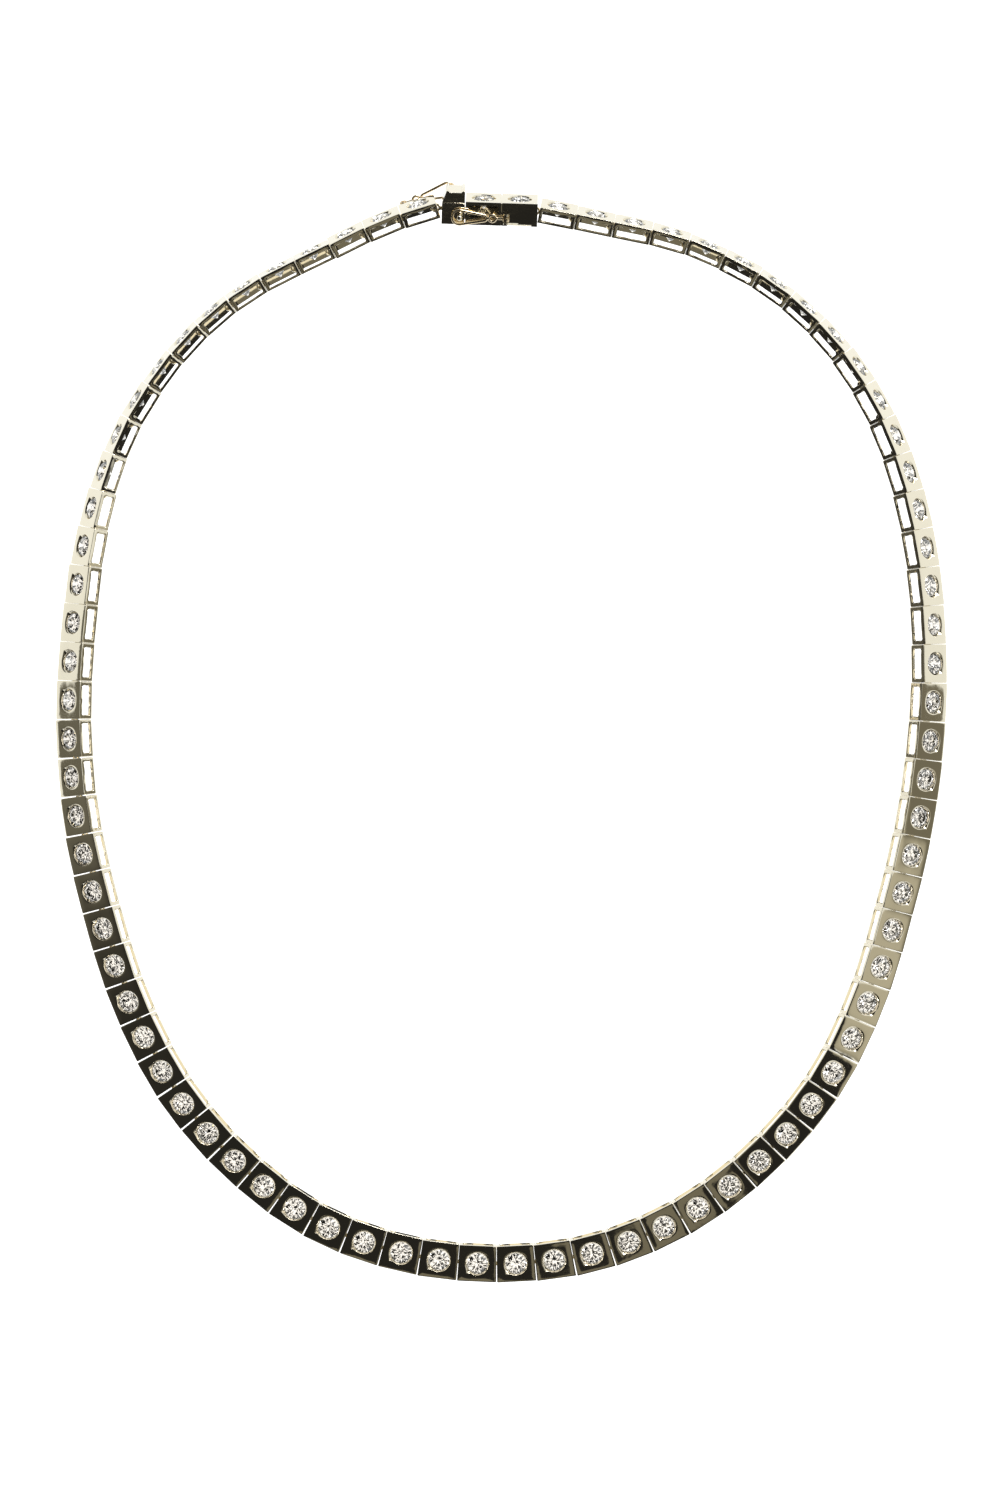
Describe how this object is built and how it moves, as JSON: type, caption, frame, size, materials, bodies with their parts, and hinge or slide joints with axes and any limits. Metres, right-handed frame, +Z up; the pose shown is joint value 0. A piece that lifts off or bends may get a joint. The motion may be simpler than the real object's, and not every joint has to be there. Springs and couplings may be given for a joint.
{
  "type": "riviere necklace",
  "caption": "Riviere necklace of square box links, each set with one round brilliant, closed by a box clasp with two safety catches.",
  "frame": {"origin": "The centre of the neck opening, in the inclined plane of the loop, about halfway between the clasp and the front link.", "axes": "+Z up, the front of the necklace towards -Y and low, the clasp towards +Y and high, +X to the right as seen from the front."},
  "size_m": [0.1252, 0.1118, 0.111],
  "materials": {
    "gold": "high polish, pale yellow gold",
    "brilliant": "clear cut stone"
  },
  "bodies": {
    "necklace": {"links": "gold", "stones": "brilliant", "clasp_box": "gold", "clasp_tongue": "gold", "clasp_stones": "brilliant"},
    "near_catch": {"near_catch": "gold"},
    "far_catch": {"far_catch": "gold"}
  },
  "joints": [
    {"name": "near_catch_hinge", "type": "hinge", "parent": "necklace", "child": "near_catch", "pos_m": [0.00083, 0.04911, 0.05313], "axis": [0.0307, 0.4536, 0.8907], "range_deg": [0, 150]},
    {"name": "far_catch_hinge", "type": "hinge", "parent": "necklace", "child": "far_catch", "pos_m": [-0.01359, 0.05481, 0.05089], "axis": [-0.2832, 0.4371, 0.8537], "range_deg": [0, 150]}
  ]
}
